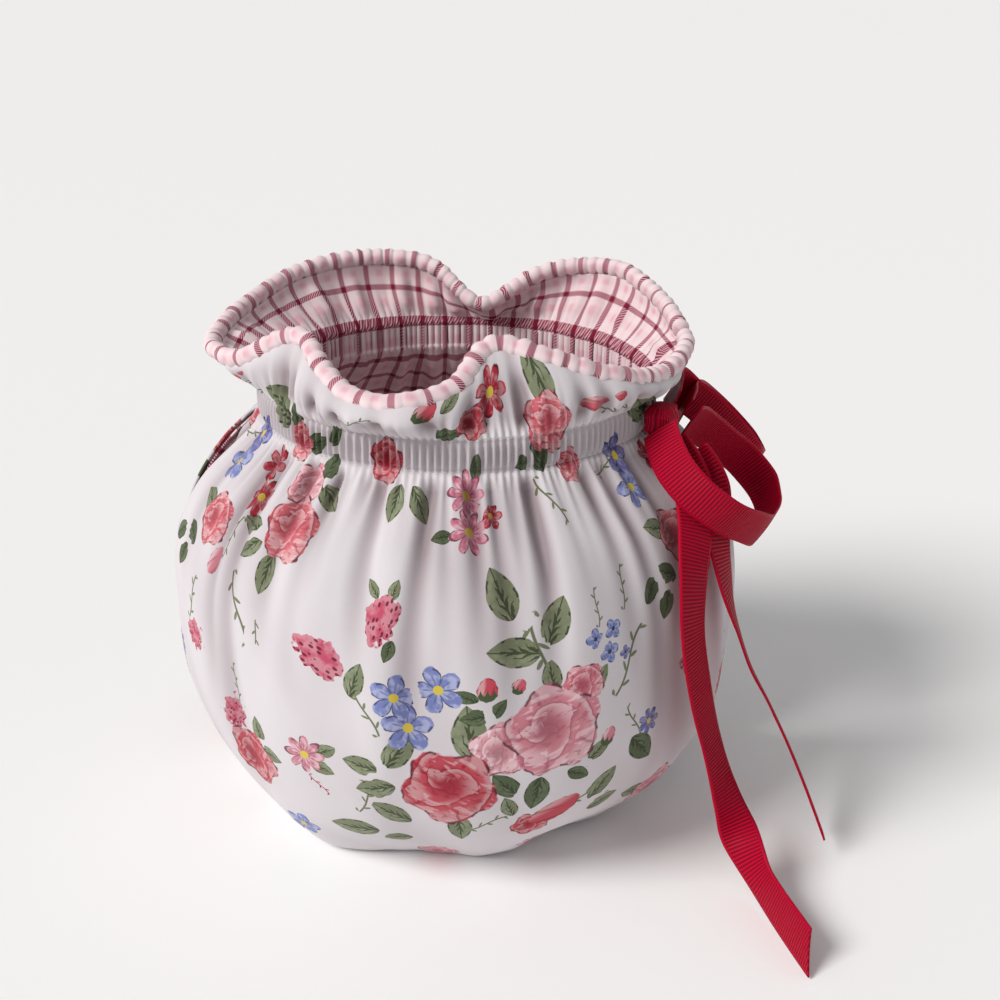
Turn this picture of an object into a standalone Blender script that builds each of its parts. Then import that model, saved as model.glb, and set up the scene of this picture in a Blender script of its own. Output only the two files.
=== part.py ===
"""Tea cosy for a round teapot: a gathered cotton cover with an elastic neck, a frill and a ribbon bow.

The cosy stands as it is worn, with the pot left out, so it is hollow from hem to neck.
Frame: metres, +Z up, the table is z = 0, +X is the handle side, -Y is the front with the bouquet.
Angles are in degrees about Z: 0 at the handle, -90 at the front, 180 at the spout.
"""
import math

import bmesh
import bpy
import numpy as np
from mathutils import Matrix, Vector

MM = 0.001
NAME = "tea_cosy"

# ---- cloth
CLOTH = 1.2 * MM  # thickness of the printed cloth, and of the check lining
PLY_GAP = 0.4 * MM  # air between the two layers
OUTER_PLY = -1.0  # Solidify's offset for a wall just inside the surface
INNER_PLY = OUTER_PLY - 2.0 * (1.0 + PLY_GAP / CLOTH)  # and for the next wall inwards
SEAM_GAP = 0.6 * MM  # air between the front and the back panels
COLUMNS = 28  # cells across one panel

# ---- outer face of the body, from the hem to the foot of the elastic band
PROFILE = (
    # reach, height, rows up to the next station
    (54.0, 0.0, 1),
    (60.0, 0.0, 1),
    (71.0, 8.5, 1),
    (84.0, 23.0, 1),
    (92.0, 43.0, 2),
    (94.0, 68.0, 2),
    (91.0, 97.0, 1),
    (83.5, 112.0, 1),
    (73.0, 123.0, 1),
    (63.0, 132.0, 0),
)
NECK_REACH = 63.0
NECK_DEPTH = 0.97  # the neck is a little narrower from front to back
BAND_HEIGHT = 10.0
BAND_ROWS = 1
FRILL_ROWS = 4

# ---- how far the hem's outline stands off a circle
HEM = (
    # angle, offset
    (-165.0, 1.0),
    (-145.0, 4.0),
    (-126.0, 10.0),
    (-102.0, 1.0),
    (-76.0, 2.0),
    (-62.0, -5.0),
    (-45.0, 1.0),
    (-20.0, -2.0),
    (12.0, 3.0),
    (45.0, -2.0),
    (75.0, 4.0),
    (105.0, -2.0),
    (140.0, 3.0),
    (170.0, -2.0),
)

# ---- main folds that fall from the neck
FOLDS = (
    # angle, depth, half width, drift of the fold's foot away from its head
    (-150.0, 1.6, 9.0, -5.0),
    (-130.0, 2.2, 8.0, -4.0),
    (-111.0, 3.6, 8.0, -3.0),
    (-95.0, 2.0, 7.5, 0.0),
    (-78.0, 1.8, 8.0, 2.0),
    (-58.0, 2.6, 9.0, 4.0),
    (-42.0, 3.0, 8.0, 4.0),
    (-18.0, 2.0, 9.0, 3.0),
    (22.0, 2.2, 9.0, -2.0),
    (47.0, 3.0, 9.0, -3.0),
    (70.0, 2.0, 8.5, -2.0),
    (93.0, 3.2, 9.0, 1.0),
    (118.0, 2.4, 9.0, 2.0),
    (142.0, 2.8, 9.0, 3.0),
)

# ---- edge of the frill, as it leans out and folds in round the neck
RIM = (
    # angle, reach, height, bulge of the frill below it
    (-178.0, 76.0, 148.5, 3.5),
    (-160.0, 70.0, 152.0, 6.0),
    (-145.0, 59.0, 162.0, 5.0),
    (-131.0, 62.0, 157.0, 9.0),
    (-118.0, 66.0, 152.5, 11.0),
    (-100.0, 65.0, 153.0, 11.0),
    (-89.0, 58.0, 155.5, 8.0),
    (-79.0, 49.0, 163.0, 4.0),
    (-64.0, 55.0, 161.0, 6.0),
    (-45.0, 65.0, 154.5, 9.0),
    (-28.0, 70.0, 150.5, 9.0),
    (-10.0, 73.0, 151.5, 7.0),
    (8.0, 72.0, 154.0, 5.0),
    (25.0, 72.5, 158.0, 5.0),
    (43.0, 74.0, 161.0, 5.0),
    (62.0, 65.0, 159.0, 6.0),
    (82.0, 54.0, 151.0, 6.0),
    (97.0, 63.0, 159.5, 4.0),
    (115.0, 71.0, 161.5, 5.0),
    (135.0, 76.0, 159.0, 5.0),
    (155.0, 77.3, 153.0, 5.0),
)
ROLL_RADIUS = 2.6 * MM  # the rolled check edge of the frill
ROLL_GAP = 0.8 * MM
ROLL_SIDES = 8

# ---- slits, as spans of height on the body
SPOUT_SLIT = {"low": 76.0, "high": 132.0, "half_width": 12.0}
HANDLE_SLIT = {"low": 30.0, "high": 132.0, "half_width": 14.0}

# ---- ribbon
RIBBON_WIDTH = 12.0 * MM
RIBBON_THICKNESS = 1.0 * MM
KNOT_PLACE = (61.5, -31.5, 137.5)
KNOT_SIZE = (8.0, 11.0, 9.0)
KNOT_TURN = -27.0
KNOT_ROUND = 2.5 * MM
RIBBON_STEP = 5.0 * MM

ROUTES = {
    # x, y, z, then which way the ribbon's width points
    "bow_loop_front": (
        (60.0, -38.5, 137.0, 0.70, -0.35, 0.60),
        (61.0, -43.5, 133.5, 0.73, -0.35, 0.58),
        (63.5, -50.5, 129.0, 0.76, -0.25, 0.60),
        (68.8, -54.8, 123.5, 0.76, -0.17, 0.64),
        (77.2, -55.5, 117.0, 0.70, -0.10, 0.70),
        (88.5, -46.5, 108.5, 0.60, -0.03, 0.80),
        (97.0, -28.0, 100.0, 0.50, 0.00, 0.86),
        (102.0, -11.0, 99.0, 0.50, 0.00, 0.86),
        (101.0, -1.0, 103.5, 0.52, 0.00, 0.85),
        (95.0, 1.0, 110.5, 0.53, 0.00, 0.84),
        (86.0, -5.0, 119.5, 0.54, 0.00, 0.83),
        (77.5, -14.5, 128.5, 0.54, 0.00, 0.83),
        (73.5, -22.0, 133.0, 0.52, 0.00, 0.85),
        (71.0, -27.5, 135.0, 0.52, 0.00, 0.85),
    ),
    "bow_loop_back": (
        (65.5, -24.0, 138.5, 0.42, 0.00, 0.90),
        (68.0, -12.0, 138.5, 0.42, 0.00, 0.90),
        (70.5, 2.0, 137.5, 0.45, 0.00, 0.89),
        (77.0, 8.0, 130.5, 0.50, 0.00, 0.86),
        (86.5, 10.5, 122.0, 0.52, 0.00, 0.85),
        (95.0, 13.5, 112.5, 0.53, 0.00, 0.84),
        (101.0, 18.0, 104.0, 0.55, 0.00, 0.83),
        (104.0, 27.0, 100.0, 0.55, 0.05, 0.83),
        (101.5, 36.0, 103.5, 0.55, 0.08, 0.83),
        (94.0, 38.0, 111.5, 0.55, 0.08, 0.83),
        (86.0, 32.0, 120.0, 0.53, 0.05, 0.84),
        (79.5, 19.0, 127.5, 0.50, 0.00, 0.86),
        (75.0, 4.0, 132.0, 0.46, 0.00, 0.88),
        (72.5, -10.0, 134.0, 0.45, 0.00, 0.89),
        (69.5, -21.5, 135.0, 0.45, 0.00, 0.89),
    ),
    "ribbon_tail_front": (
        (65.5, -34.5, 131.5, 0.30, -0.55, 0.75),
        (68.0, -39.0, 126.0, 0.50, -0.15, 0.60),
        (70.5, -44.5, 119.5, 0.62, 0.25, 0.30),
        (70.5, -51.0, 112.5, 0.72, 0.50, 0.10),
        (69.5, -60.5, 101.5, 0.70, 0.65, 0.05),
        (69.5, -67.5, 84.5, 0.65, 0.75, 0.00),
        (73.0, -68.5, 65.0, 0.62, 0.78, 0.00),
        (78.0, -68.0, 46.0, 0.53, 0.84, 0.10),
        (83.0, -71.0, 29.5, 0.42, 0.74, 0.53),
        (88.0, -77.0, 16.5, 0.26, 0.41, 0.87),
        (92.5, -86.0, 9.0, 0.20, 0.10, 0.97),
        (96.0, -97.0, 6.8, 0.24, 0.00, 0.97),
        (99.0, -108.5, 6.6, 0.26, 0.00, 0.96),
        (102.0, -120.0, 6.6, 0.26, 0.00, 0.96),
    ),
    "ribbon_tail_back": (
        (71.5, -31.5, 127.0, 0.40, -0.30, 0.60),
        (75.0, -35.0, 121.5, 0.55, -0.10, 0.55),
        (77.8, -40.5, 114.0, 0.62, 0.50, 0.25),
        (78.8, -46.5, 105.0, 0.58, 0.80, 0.08),
        (81.0, -51.0, 94.0, 0.45, 0.82, -0.15),
        (85.5, -52.0, 79.0, 0.25, 0.85, -0.45),
        (91.0, -51.0, 64.0, 0.22, 0.83, -0.50),
        (99.0, -50.0, 48.5, 0.24, 0.80, -0.55),
        (106.0, -51.5, 34.5, 0.25, 0.78, -0.57),
        (112.5, -55.5, 20.0, 0.25, 0.78, -0.58),
        (118.0, -62.0, 6.5, 0.25, 0.77, -0.59),
    ),
}

# ---- plain finishes: colour, roughness
PRINT_GROUND = ("printed_cotton", (0.80, 0.72, 0.73), 0.90)
CHECK_GROUND = ("check_cotton", (0.72, 0.40, 0.45), 0.90)
RIBBON_RED = ("grosgrain_ribbon", (0.48, 0.01, 0.05), 0.55)


def smooth_through(x, stations, values):
    """Cubic curve through the stations, whose slope at each one comes from its two neighbours."""
    slopes = np.gradient(values, stations)
    span = np.clip(np.searchsorted(stations, x, side="right") - 1, 0, len(stations) - 2)
    length = stations[span + 1] - stations[span]
    s = (x - stations[span]) / length
    low = (2 * s**3 - 3 * s**2 + 1) * values[span] + (s**3 - 2 * s**2 + s) * length * slopes[span]
    high = (3 * s**2 - 2 * s**3) * values[span + 1] + (s**3 - s**2) * length * slopes[span + 1]
    return low + high


def round_table(angle, table, column):
    """A column of a table of angles, read at any angle and smooth all the way round."""
    rows = np.array(sorted(table))
    stations = np.concatenate([rows[:, 0] - 360, rows[:, 0], rows[:, 0] + 360])
    values = np.tile(rows[:, column], 3)
    return smooth_through((angle + 180) % 360 - 180, stations, values)


def ease(x):
    """0 below 0, 1 above 1, and smooth in between."""
    x = np.clip(x, 0, 1)
    return x * x * (3 - 2 * x)


def profile_stations():
    """Reach and height of each station, and its place along the body, from 0 at the hem to 1 at the band."""
    rows = np.array(PROFILE)
    chord = np.hypot(np.diff(rows[:, 0]), np.diff(rows[:, 1]))
    along = np.concatenate([[0], np.cumsum(chord)])
    return along / along[-1], rows[:, 0], rows[:, 1]


def row_places():
    """Where the rows of cells lie: 0 to 1 on the body, 1 to 2 on the band and 2 to 3 on the frill."""
    along, _, _ = profile_stations()
    body = [
        np.linspace(along[i], along[i + 1], PROFILE[i][2], endpoint=False)
        for i in range(len(PROFILE) - 1)
    ]
    band = np.linspace(1, 2, BAND_ROWS, endpoint=False)
    frill = np.linspace(2, 3, FRILL_ROWS + 1)
    return np.concatenate([*body, band, frill])


def fold_depth(angle, place):
    """How far the main folds draw the body in: nothing at the hem, most just below the band."""
    strength = ease((place - 0.15) / 0.55) * (1 - 0.65 * ease((place - 0.86) / 0.14))
    total = np.zeros(np.broadcast(angle, place).shape)
    for centre, depth, half_width, drift in FOLDS:
        middle = centre + drift * (1 - place)
        off = (angle - middle + 180) % 360 - 180
        total = total + depth * np.exp(-((off / half_width) ** 2))
    return total * strength


def body_outline(angle, place):
    """Reach and height of the body's outer face."""
    along, reaches, heights = profile_stations()
    place = np.clip(place, 0, 1)
    reach = smooth_through(place, along, reaches)
    height = np.maximum(smooth_through(place, along, heights), 0)
    reach = reach + round_table(angle, HEM, 1) * (1 - ease(place / 0.35))
    return reach - fold_depth(angle, place), height


def frill_outline(angle, place):
    """Reach and height of the frill's outer face: an arc from the band, over a bulge, to the rim."""
    s = np.clip(place - 2, 0, 1)
    start_height = PROFILE[-1][1] + BAND_HEIGHT
    rim_reach = round_table(angle, RIM, 1)
    rim_height = round_table(angle, RIM, 2)
    bulge = round_table(angle, RIM, 3)
    mid_reach = (NECK_REACH + rim_reach) / 2 + bulge
    mid_height = (start_height + rim_height) / 2
    reach = (1 - s) ** 2 * NECK_REACH + 2 * s * (1 - s) * mid_reach + s**2 * rim_reach
    height = (1 - s) ** 2 * start_height + 2 * s * (1 - s) * mid_height + s**2 * rim_height
    return reach, height


def outer_face(angle, place):
    """Points of the printed cloth's outer face, in metres, for arrays of angles and places."""
    body_reach, body_height = body_outline(angle, place)
    frill_reach, frill_height = frill_outline(angle, place)
    on_frill = place >= 2
    on_band = (place >= 1) & ~on_frill
    reach = np.where(on_frill, frill_reach, body_reach)
    height = np.where(on_frill, frill_height, body_height + np.where(on_band, place - 1, 0) * BAND_HEIGHT)
    depth = 1 - (1 - NECK_DEPTH) * ease((place - 0.6) / 0.4)
    turn = np.radians(angle)
    return np.stack([reach * np.cos(turn), reach * depth * np.sin(turn), height], -1) * MM


def inset_face(angle, place, inset):
    """The outer face moved inwards along its own normals."""
    turn_step = 0.5
    place_step = 0.01
    across = outer_face(angle + turn_step, place) - outer_face(angle - turn_step, place)
    upper = outer_face(angle, np.minimum(place + place_step, 3))
    lower = outer_face(angle, np.maximum(place - place_step, 0))
    normal = np.cross(across, upper - lower)
    normal /= np.linalg.norm(normal, axis=-1, keepdims=True)
    return outer_face(angle, place) - normal * inset


def slit_half_width(place, slit):
    """Half the width of a slit at each row, in millimetres: an eye between two heights."""
    along, _, heights = profile_stations()
    low, high = np.interp([slit["low"], slit["high"]], heights[1:], along[1:])
    s = np.clip((place - low) / (high - low), 0, 1)
    return slit["half_width"] * np.sin(np.pi * s) ** 0.8


def panel_angles(place, first, last, first_slit, last_slit):
    """Angle of each column at each row, drawn back from the slits at the panel's two sides."""
    along, reaches, _ = profile_stations()
    reach = np.interp(np.clip(place, 0, 1), along, reaches)
    half_gap = SEAM_GAP / MM / 2
    start = first + np.degrees((half_gap + slit_half_width(place, first_slit)) / reach)
    end = last - np.degrees((half_gap + slit_half_width(place, last_slit)) / reach)
    across = np.linspace(0, 1, COLUMNS + 1)[:, None]
    return start + (end - start) * across


def link_object(name, mesh, finish, collection):
    """Put a mesh in the scene as a named, smooth-shaded object with its own material."""
    label, colour, roughness = finish
    material = bpy.data.materials.new(f"{name}_{label}")
    material.use_nodes = True
    shader = material.node_tree.nodes["Principled BSDF"]
    shader.inputs["Base Color"].default_value = (*colour, 1.0)
    shader.inputs["Roughness"].default_value = roughness
    mesh.materials.append(material)
    mesh.shade_smooth()
    piece = bpy.data.objects.new(name, mesh)
    collection.objects.link(piece)
    return piece


def sheet_mesh(name, points):
    """An open surface of triangles on a grid of points, first index across, second index up."""
    count_across, count_up = points.shape[:2]
    index = np.arange(count_across * count_up).reshape(count_across, count_up)
    a, b = index[:-1, :-1].ravel(), index[1:, :-1].ravel()
    c, d = index[1:, 1:].ravel(), index[:-1, 1:].ravel()
    faces = np.concatenate([np.stack([a, b, c], 1), np.stack([a, c, d], 1)])
    mesh = bpy.data.meshes.new(name)
    mesh.from_pydata(points.reshape(-1, 3).tolist(), [], faces.tolist())
    mesh.update()
    return mesh


def add_thickness(piece, thickness, offset):
    """Give an open surface its wall: offset -1 puts it just inside the surface, 0 astride it."""
    wall = piece.modifiers.new("wall", "SOLIDIFY")
    wall.thickness = thickness
    wall.offset = offset
    wall.use_even_offset = False


def make_panels(collection):
    """The front and back panels of printed cloth, and the check lining behind each."""
    sides = {
        "front": (-180.0, 0.0, SPOUT_SLIT, HANDLE_SLIT),
        "back": (0.0, 180.0, HANDLE_SLIT, SPOUT_SLIT),
    }
    place = row_places()[None, :]
    for side, (first, last, first_slit, last_slit) in sides.items():
        angle = panel_angles(place, first, last, first_slit, last_slit)
        points = outer_face(angle, place)
        layers = (
            (f"printed_panel_{side}", OUTER_PLY, PRINT_GROUND),
            (f"check_lining_{side}", INNER_PLY, CHECK_GROUND),
        )
        for name, ply, finish in layers:
            piece = link_object(name, sheet_mesh(name, points), finish, collection)
            add_thickness(piece, CLOTH, ply)


def square_to_path(path, rise):
    """Unit directions out of and up from a path, both square to it, with up nearest to the rise."""
    forward = np.gradient(path, axis=0)
    out = np.cross(forward, rise)
    out /= np.linalg.norm(out, axis=-1, keepdims=True)
    up = np.cross(out, forward)
    up /= np.linalg.norm(up, axis=-1, keepdims=True)
    return out, up


def make_rolled_edge(collection):
    """The rolled check edge that closes the frill, one length from the handle side all the way round."""
    name = "rolled_edge"
    along, reaches, _ = profile_stations()
    open_turn = math.degrees(ROLL_RADIUS / MM / 2 / reaches[-1])
    angle = np.linspace(open_turn, 360 - open_turn, 2 * COLUMNS + 1)
    middle = CLOTH + PLY_GAP / 2
    rim = inset_face(angle, np.full_like(angle, 3.0), middle)
    rise = outer_face(angle, np.full_like(angle, 3.0)) - outer_face(angle, np.full_like(angle, 2.75))
    out, up = square_to_path(rim, rise)
    route = rim + up * (ROLL_RADIUS + ROLL_GAP)
    out, up = square_to_path(route, up)
    turn = np.linspace(0, 2 * math.pi, ROLL_SIDES, endpoint=False)[:, None, None]
    ring = route + ROLL_RADIUS * (np.cos(turn) * out + np.sin(turn) * up)
    mesh = tube_mesh(name, ring)
    link_object(name, mesh, CHECK_GROUND, collection)


def tube_mesh(name, ring):
    """A closed tube from rings of points, first index round the tube, second index along it."""
    sides, count = ring.shape[:2]
    index = np.arange(sides * count).reshape(sides, count)
    turned = np.roll(index, -1, axis=0)
    quads = np.stack([index[:, :-1], turned[:, :-1], turned[:, 1:], index[:, 1:]], -1).reshape(-1, 4)
    caps = [index[::-1, 0].tolist(), index[:, -1].tolist()]
    mesh = bpy.data.meshes.new(name)
    mesh.from_pydata(ring.reshape(-1, 3).tolist(), [], quads[:, ::-1].tolist() + [cap[::-1] for cap in caps])
    mesh.update()
    return mesh


def ribbon_points(route):
    """Points across and along a ribbon that follows a route, with its width square to its run."""
    rows = np.array(route)
    places = rows[:, :3] * MM
    chord = np.linalg.norm(np.diff(places, axis=0), axis=1)
    along = np.concatenate([[0], np.cumsum(chord)])
    count = int(round(along[-1] / RIBBON_STEP))
    s = np.linspace(0, along[-1], count + 1)
    middle = np.stack([smooth_through(s, along, places[:, k]) for k in range(3)], -1)
    width = np.stack([smooth_through(s, along, rows[:, 3 + k]) for k in range(3)], -1)
    forward = np.gradient(middle, axis=0)
    forward /= np.linalg.norm(forward, axis=-1, keepdims=True)
    width -= forward * np.sum(width * forward, axis=-1, keepdims=True)
    width /= np.linalg.norm(width, axis=-1, keepdims=True)
    sides = np.array([-0.5, 0.5])[:, None, None]
    return middle + sides * RIBBON_WIDTH * width


def make_bow(collection):
    """The ribbon's two loops, two tails and knot, tied at the handle side of the neck."""
    for name, route in ROUTES.items():
        piece = link_object(name, sheet_mesh(name, ribbon_points(route)), RIBBON_RED, collection)
        add_thickness(piece, RIBBON_THICKNESS, 0)
    name = "bow_knot"
    block = bmesh.new()
    bmesh.ops.create_cube(block, size=MM)
    bmesh.ops.scale(block, vec=KNOT_SIZE, verts=block.verts)
    bmesh.ops.rotate(block, matrix=Matrix.Rotation(math.radians(KNOT_TURN), 3, "Z"), verts=block.verts)
    bmesh.ops.translate(block, vec=Vector(KNOT_PLACE) * MM, verts=block.verts)
    mesh = bpy.data.meshes.new(name)
    block.to_mesh(mesh)
    block.free()
    knot = link_object(name, mesh, RIBBON_RED, collection)
    round_off = knot.modifiers.new("round", "BEVEL")
    round_off.width = KNOT_ROUND
    round_off.segments = 3


def main():
    """Clear the scene and build the cosy in a collection of its own."""
    for thing in list(bpy.data.objects):
        bpy.data.objects.remove(thing, do_unlink=True)
    collection = bpy.data.collections.new(NAME)
    bpy.context.scene.collection.children.link(collection)
    make_panels(collection)
    make_rolled_edge(collection)
    make_bow(collection)


main()
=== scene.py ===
"""Looks of the gathered tea cosy: printed cotton, check lining, shirred band, rolled edge and ribbon bow.

Lengths are millimetres in the tables and metres in the meshes. +Z is up, +X is the handle side, -Y the front.
Angles are degrees about Z: 0 at the handle, -90 at the front, 180 at the spout. A place on the cloth runs
from 0 at the hem to 1 at the band, 2 at the band's top and 3 at the rim of the frill.
"""
import logging
import math
from dataclasses import dataclass, field
from enum import Enum
from typing import Any, Callable

import bpy
import numpy as np
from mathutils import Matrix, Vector


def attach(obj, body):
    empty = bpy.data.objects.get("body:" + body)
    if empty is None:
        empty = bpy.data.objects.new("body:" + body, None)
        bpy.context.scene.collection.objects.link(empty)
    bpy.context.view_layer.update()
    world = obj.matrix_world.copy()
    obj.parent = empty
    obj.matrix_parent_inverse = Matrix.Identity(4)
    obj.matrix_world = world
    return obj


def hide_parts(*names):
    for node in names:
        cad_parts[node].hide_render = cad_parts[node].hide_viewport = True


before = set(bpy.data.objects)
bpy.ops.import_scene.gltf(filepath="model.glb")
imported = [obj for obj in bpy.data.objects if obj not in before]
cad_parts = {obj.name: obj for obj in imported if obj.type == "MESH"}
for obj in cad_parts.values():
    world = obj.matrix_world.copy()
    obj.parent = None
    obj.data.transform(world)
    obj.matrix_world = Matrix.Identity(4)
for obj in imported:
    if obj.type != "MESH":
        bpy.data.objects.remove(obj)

LOG = logging.getLogger("tea_cosy")
Tree = bpy.types.NodeTree
Socket = bpy.types.NodeSocket
MM = 0.001
ROOT = "root"
BELLY_REACH = 93.0  # the cloth's own width coordinate is the arc length at this reach


# ---------------------------------------------------------------- small tools


def linear(colour: str) -> tuple[float, float, float, float]:
    """Turn an sRGB hex colour into linear light.

    Args:
        colour: six hex digits, with or without a hash.

    Returns:
        Red, green, blue and an alpha of one.
    """
    digits = colour.lstrip("#")
    parts = [int(digits[i : i + 2], 16) / 255 for i in (0, 2, 4)]
    red, green, blue = (p / 12.92 if p <= 0.04045 else ((p + 0.055) / 1.055) ** 2.4 for p in parts)
    return red, green, blue, 1.0


def add(
    tree: Tree, kind: str, *inputs: Any, output: int = 0, named: dict | None = None, **settings: Any
) -> Socket | None:
    """Add a shader node with its settings and its links.

    Args:
        tree: the node tree that gets the node.
        kind: the node's type, without ShaderNode.
        inputs: a value, a socket or a field for each input in order.
        output: which output is returned.
        named: values or sockets for inputs given by name or index.
        settings: properties of the node.

    Returns:
        The chosen output socket, or None for a node that has no outputs.
    """
    node = tree.nodes.new("ShaderNode" + kind)
    for name, value in settings.items():
        setattr(node, name, value)
    for key, value in [*enumerate(inputs), *(named or {}).items()]:
        if isinstance(value, Field):
            value = value.socket
        if isinstance(value, Socket):
            tree.links.new(value, node.inputs[key])
        else:
            node.inputs[key].default_value = value
    return node.outputs[output] if node.outputs else None


class Field:
    """A number that a shader works out, written with the plain signs of arithmetic."""

    def __init__(self, socket: Socket) -> None:
        """Hold the socket that gives the number."""
        self.socket = socket

    def then(self, operation: str, *others: Any) -> "Field":
        """Add one step of arithmetic that starts from this number."""
        return Field(add(self.socket.id_data, "Math", self, *others, operation=operation))

    def __add__(self, other: Any) -> "Field":
        """The sum."""
        return self.then("ADD", other)

    def __sub__(self, other: Any) -> "Field":
        """The difference."""
        return self.then("SUBTRACT", other)

    def __mul__(self, other: Any) -> "Field":
        """The product."""
        return self.then("MULTIPLY", other)

    def step(self, low: Any, high: Any, start: float = 0.0, end: float = 1.0) -> "Field":
        """Go smoothly from start, where this number is low, to end, where it is high."""
        named = {"From Min": low, "From Max": high, "To Min": start, "To Max": end}
        return Field(add(self.socket.id_data, "MapRange", self, named=named, interpolation_type="SMOOTHSTEP"))


def axes(tree: Tree, vector: Socket) -> list[Field]:
    """The three numbers of a vector."""
    return [Field(socket) for socket in add(tree, "SeparateXYZ", vector).node.outputs]


def coats(tree: Tree, base: Any, *layers: tuple) -> Any:
    """Lay colours over a base colour, one after another.

    Args:
        tree: the node tree that gets the nodes.
        base: the colour underneath.
        layers: the amount and the colour of each coat.

    Returns:
        The colour on top.
    """
    for amount, over in layers:
        base = add(tree, "Mix", amount, output=2, data_type="RGBA", named={6: base, 7: over})
    return base


def new_material(name: str) -> tuple[bpy.types.Material, Tree]:
    """Make an empty node material and return it with its tree.

    Args:
        name: the finish's name.

    Returns:
        The material and its tree.
    """
    material = bpy.data.materials.new(name)
    material.use_nodes = True
    material.node_tree.nodes.clear()
    return material, material.node_tree


def smooth_through(x: np.ndarray, stations: np.ndarray, values: np.ndarray) -> np.ndarray:
    """Read a cubic curve through stations; its slope at each one comes from the two neighbours.

    Args:
        x: where to read it.
        stations: rising places of the known values.
        values: the known values.

    Returns:
        The curve's values at x.
    """
    slopes = np.gradient(values, stations)
    span = np.clip(np.searchsorted(stations, x, side="right") - 1, 0, len(stations) - 2)
    length = stations[span + 1] - stations[span]
    s = (x - stations[span]) / length
    low = (2 * s**3 - 3 * s**2 + 1) * values[span] + (s**3 - 2 * s**2 + s) * length * slopes[span]
    high = (3 * s**2 - 2 * s**3) * values[span + 1] + (s**3 - s**2) * length * slopes[span + 1]
    return low + high


def round_table(angle: np.ndarray, table: tuple, column: int) -> np.ndarray:
    """Read a column of a table of angles anywhere round the circle, smooth across 180 degrees.

    Args:
        angle: angles, in degrees.
        table: rows that start with an angle.
        column: which column is read.

    Returns:
        The column's values at those angles.
    """
    rows = np.array(sorted(table))
    stations = np.concatenate([rows[:, 0] - 360, rows[:, 0], rows[:, 0] + 360])
    return smooth_through((angle + 180) % 360 - 180, stations, np.tile(rows[:, column], 3))


def ease(x: np.ndarray) -> np.ndarray:
    """Rise from 0 below 0 to 1 above 1 along 3x^2 - 2x^3."""
    x = np.clip(x, 0, 1)
    return x * x * (3 - 2 * x)


def unit(vectors: np.ndarray) -> np.ndarray:
    """Scale vectors along the last axis to a length of one."""
    return vectors / np.maximum(np.linalg.norm(vectors, axis=-1, keepdims=True), 1e-12)


def wrapped(difference: np.ndarray, period: float) -> np.ndarray:
    """Bring a difference to the nearest repeat, between minus and plus half the period."""
    return (difference + period / 2) % period - period / 2


def grid_mesh(name: str, points: np.ndarray, uv: np.ndarray, closed: bool = False) -> bpy.types.Object:
    """Make an object from a grid of points: cell (i, j) joins rows i, i+1 and columns j, j+1.

    Args:
        name: the piece's name.
        points: metres, first index across, second index up, outward side seen with across to the right.
        uv: the cloth's own coordinates for each point, in millimetres.
        closed: whether the first index closes on itself, as round a tube.

    Returns:
        The object, in the scene, smooth-shaded and riding on the root.
    """
    across, up = points.shape[:2]
    index = np.arange(across * up).reshape(across, up)
    following = np.roll(index, -1, axis=0) if closed else index[1:]
    own = index if closed else index[:-1]
    quads = np.stack([own[:, :-1], following[:, :-1], following[:, 1:], own[:, 1:]], -1).reshape(-1, 4)
    faces = quads.tolist()
    if closed:
        faces += [index[::-1, 0].tolist(), index[:, -1].tolist()]
    mesh = bpy.data.meshes.new(name)
    mesh.from_pydata(points.reshape(-1, 3).tolist(), [], faces)
    corners = np.empty(len(mesh.loops), dtype=np.int32)
    mesh.loops.foreach_get("vertex_index", corners)
    layer = mesh.uv_layers.new(name="cloth")
    flat = uv.reshape(-1, 2)[corners]
    layer.uv.foreach_set("vector", flat.astype(np.float32).ravel())
    mesh.update()
    mesh.shade_smooth()
    piece = bpy.data.objects.new(name, mesh)
    bpy.context.scene.collection.objects.link(piece)
    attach(piece, ROOT)
    return piece


def thicken(piece: bpy.types.Object, thickness: float, offset: float = -1.0) -> None:
    """Give an open sheet its wall, inside its face for an offset of -1 and astride it for 0.

    Args:
        piece: the open sheet.
        thickness: its wall, in millimetres.
        offset: which side of the face the wall is on.
    """
    wall = piece.modifiers.new("wall", "SOLIDIFY")
    wall.thickness = thickness * MM
    wall.offset = offset


def dress(piece: bpy.types.Object, material: bpy.types.Material, node: str) -> None:
    """Give a piece its material, and let it stand for a node of the frame.

    Args:
        piece: the finished piece.
        material: its finish.
        node: the node that it stands for.
    """
    piece.data.materials.append(material)
    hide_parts(node)
    LOG.info("%s stands for %s: %d faces", piece.name, node, len(piece.data.polygons))


# ---------------------------------------------------------------- the print


class Layer(Enum):
    """Kinds of printed motif, in the order they are printed over each other."""

    SPRIG = "sprig"
    LEAF_UNDER = "leaf_under"
    LEAF = "leaf"
    CLUSTER = "cluster"
    BLOSSOM_UNDER = "blossom_under"
    BLOSSOM = "blossom"
    ROSE_UNDER = "rose_under"
    ROSE = "rose"
    BUD = "bud"


SAGE = "#868E70"
MOSS = "#5E6B4E"
PINK = "#CF8491"
CORAL = "#BE4C58"
SALMON = "#CC6872"
BLUE = "#8A94C9"
VIOLET = "#8181B8"

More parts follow.
